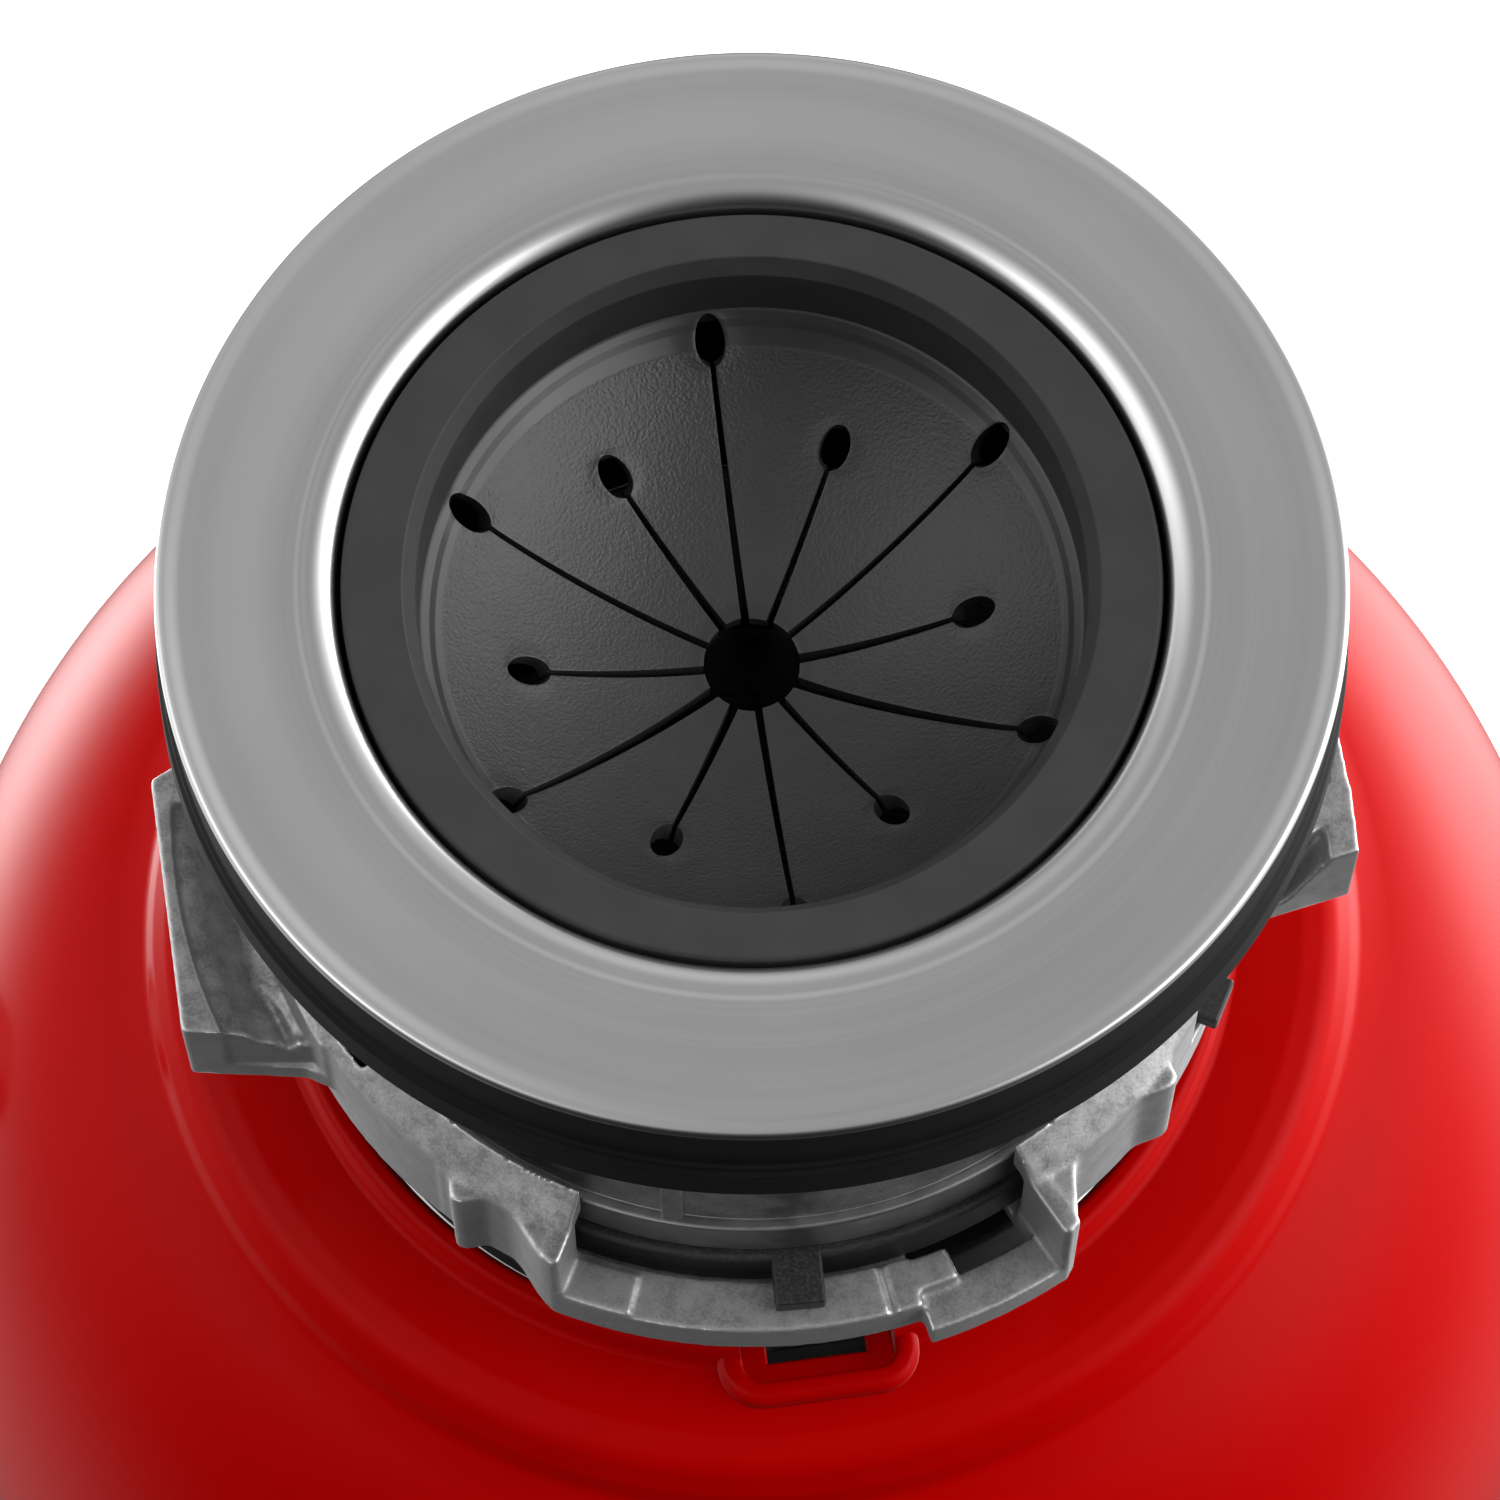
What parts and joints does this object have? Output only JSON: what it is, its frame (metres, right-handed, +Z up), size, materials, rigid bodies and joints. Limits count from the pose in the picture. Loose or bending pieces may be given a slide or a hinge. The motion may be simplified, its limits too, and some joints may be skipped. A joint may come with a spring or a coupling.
{
  "type": "kitchen garbage disposal",
  "caption": "Continuous-feed kitchen garbage disposal with sink flange, rubber splash guard, die-cast quick-lock ring, gloss domed shell, grinder, motor and side drain elbow.",
  "frame": {"origin": "on the motor axis, at the level that the base ring stands on", "axes": "+Z up along the motor axis to the sink flange; +X towards the drain outlet; -Y is the front, with the reset button and the small port in the dome"},
  "size_m": [0.2691, 0.2, 0.33],
  "materials": {
    "flange_steel": "satin spun stainless steel",
    "guard_rubber": "matt charcoal rubber with a fine pebble grain",
    "gasket_rubber": "smooth black rubber",
    "collar_rubber": "matt black rubber",
    "plated_steel": "zinc plated steel",
    "cast_aluminium": "die-cast, slightly speckled, bright worn edges",
    "stainless": "stainless steel",
    "red_gloss": "deep gloss red",
    "black_plastic": "fine grained black moulding",
    "foam": "expanded polystyrene foam",
    "cast_iron_grey": "painted iron casting",
    "bearing_bronze": "sintered bronze",
    "copper_winding": "enamelled copper wire",
    "lamination": "stacked steel laminations",
    "grey_fibre": "fibre gasket",
    "relay_plastic": "ivory moulding",
    "capacitor_can": "sleeved can",
    "button_red": "smooth red moulding",
    "ground_green": "green lacquered screw"
  },
  "bodies": {
    "housing": {"sink_flange": "flange_steel", "sink_gasket": "gasket_rubber", "fibre_gasket": "gasket_rubber", "backup_ring": "plated_steel", "mounting_ring": "cast_aluminium", "mounting_screws": "plated_steel", "snap_ring": "plated_steel", "neck_boot": "collar_rubber", "hopper": "stainless", "upper_shell": "red_gloss", "port_insert": "black_plastic", "insulation_liner": "foam", "trim_band": "black_plastic", "lower_shell": "black_plastic", "shell_screws": "plated_steel", "base_cover": "black_plastic", "base_screws": "plated_steel", "shredder_ring": "stainless", "shaft_seal": "gasket_rubber", "upper_bearing": "bearing_bronze", "lower_bearing": "bearing_bronze", "chamber_gasket": "grey_fibre", "drain_chamber": "cast_iron_grey", "discharge_gasket": "gasket_rubber", "discharge_flange": "plated_steel", "discharge_elbow": "black_plastic", "discharge_screws": "plated_steel", "dishwasher_plug": "black_plastic", "upper_end_bell": "cast_aluminium", "lower_end_bell": "cast_aluminium", "stator_core": "lamination", "field_windings": "copper_winding", "through_bolts": "plated_steel", "run_capacitor": "capacitor_can", "start_relay": "relay_plastic", "overload_protector": "black_plastic", "terminal_box": "plated_steel", "terminal_cover": "plated_steel", "terminal_screw": "plated_steel", "ground_screw": "ground_green", "cable_gland": "black_plastic"},
    "lock": {"lock_ring": "cast_aluminium", "cushion_collar": "collar_rubber"},
    "guard": {"splash_guard": "guard_rubber"},
    "rotor": {"motor_shaft": "stainless", "rotor_core": "lamination", "rotor_end_rings": "cast_aluminium", "turntable": "stainless", "turntable_nut": "plated_steel", "lug_rivets": "stainless", "water_slinger": "gasket_rubber"},
    "impeller_a": {"lug_a": "stainless"},
    "impeller_b": {"lug_b": "stainless"},
    "reset": {"reset_button": "button_red"}
  },
  "joints": [
    {"name": "lock_turn", "type": "hinge", "parent": "housing", "child": "lock", "pos_m": [0, 0, 0.267], "axis": [0, 0, 1], "range_deg": [0, 30]},
    {"name": "guard_lift", "type": "slide", "parent": "housing", "child": "guard", "axis": [0, 0, 1], "range_m": [0, 0.08]},
    {"name": "motor_spin", "type": "hinge", "parent": "housing", "child": "rotor", "pos_m": [0, 0, 0.1], "axis": [0, 0, 1], "continuous": true},
    {"name": "lug_a_swing", "type": "hinge", "parent": "rotor", "child": "impeller_a", "pos_m": [0.044, 0, 0.178], "axis": [0, 0, 1], "continuous": true},
    {"name": "lug_b_swing", "type": "hinge", "parent": "rotor", "child": "impeller_b", "pos_m": [-0.044, 0, 0.178], "axis": [0, 0, 1], "continuous": true},
    {"name": "reset_press", "type": "slide", "parent": "housing", "child": "reset", "axis": [0, 1, 0], "range_m": [0, 0.003], "stiffness_N_per_m": 400}
  ]
}
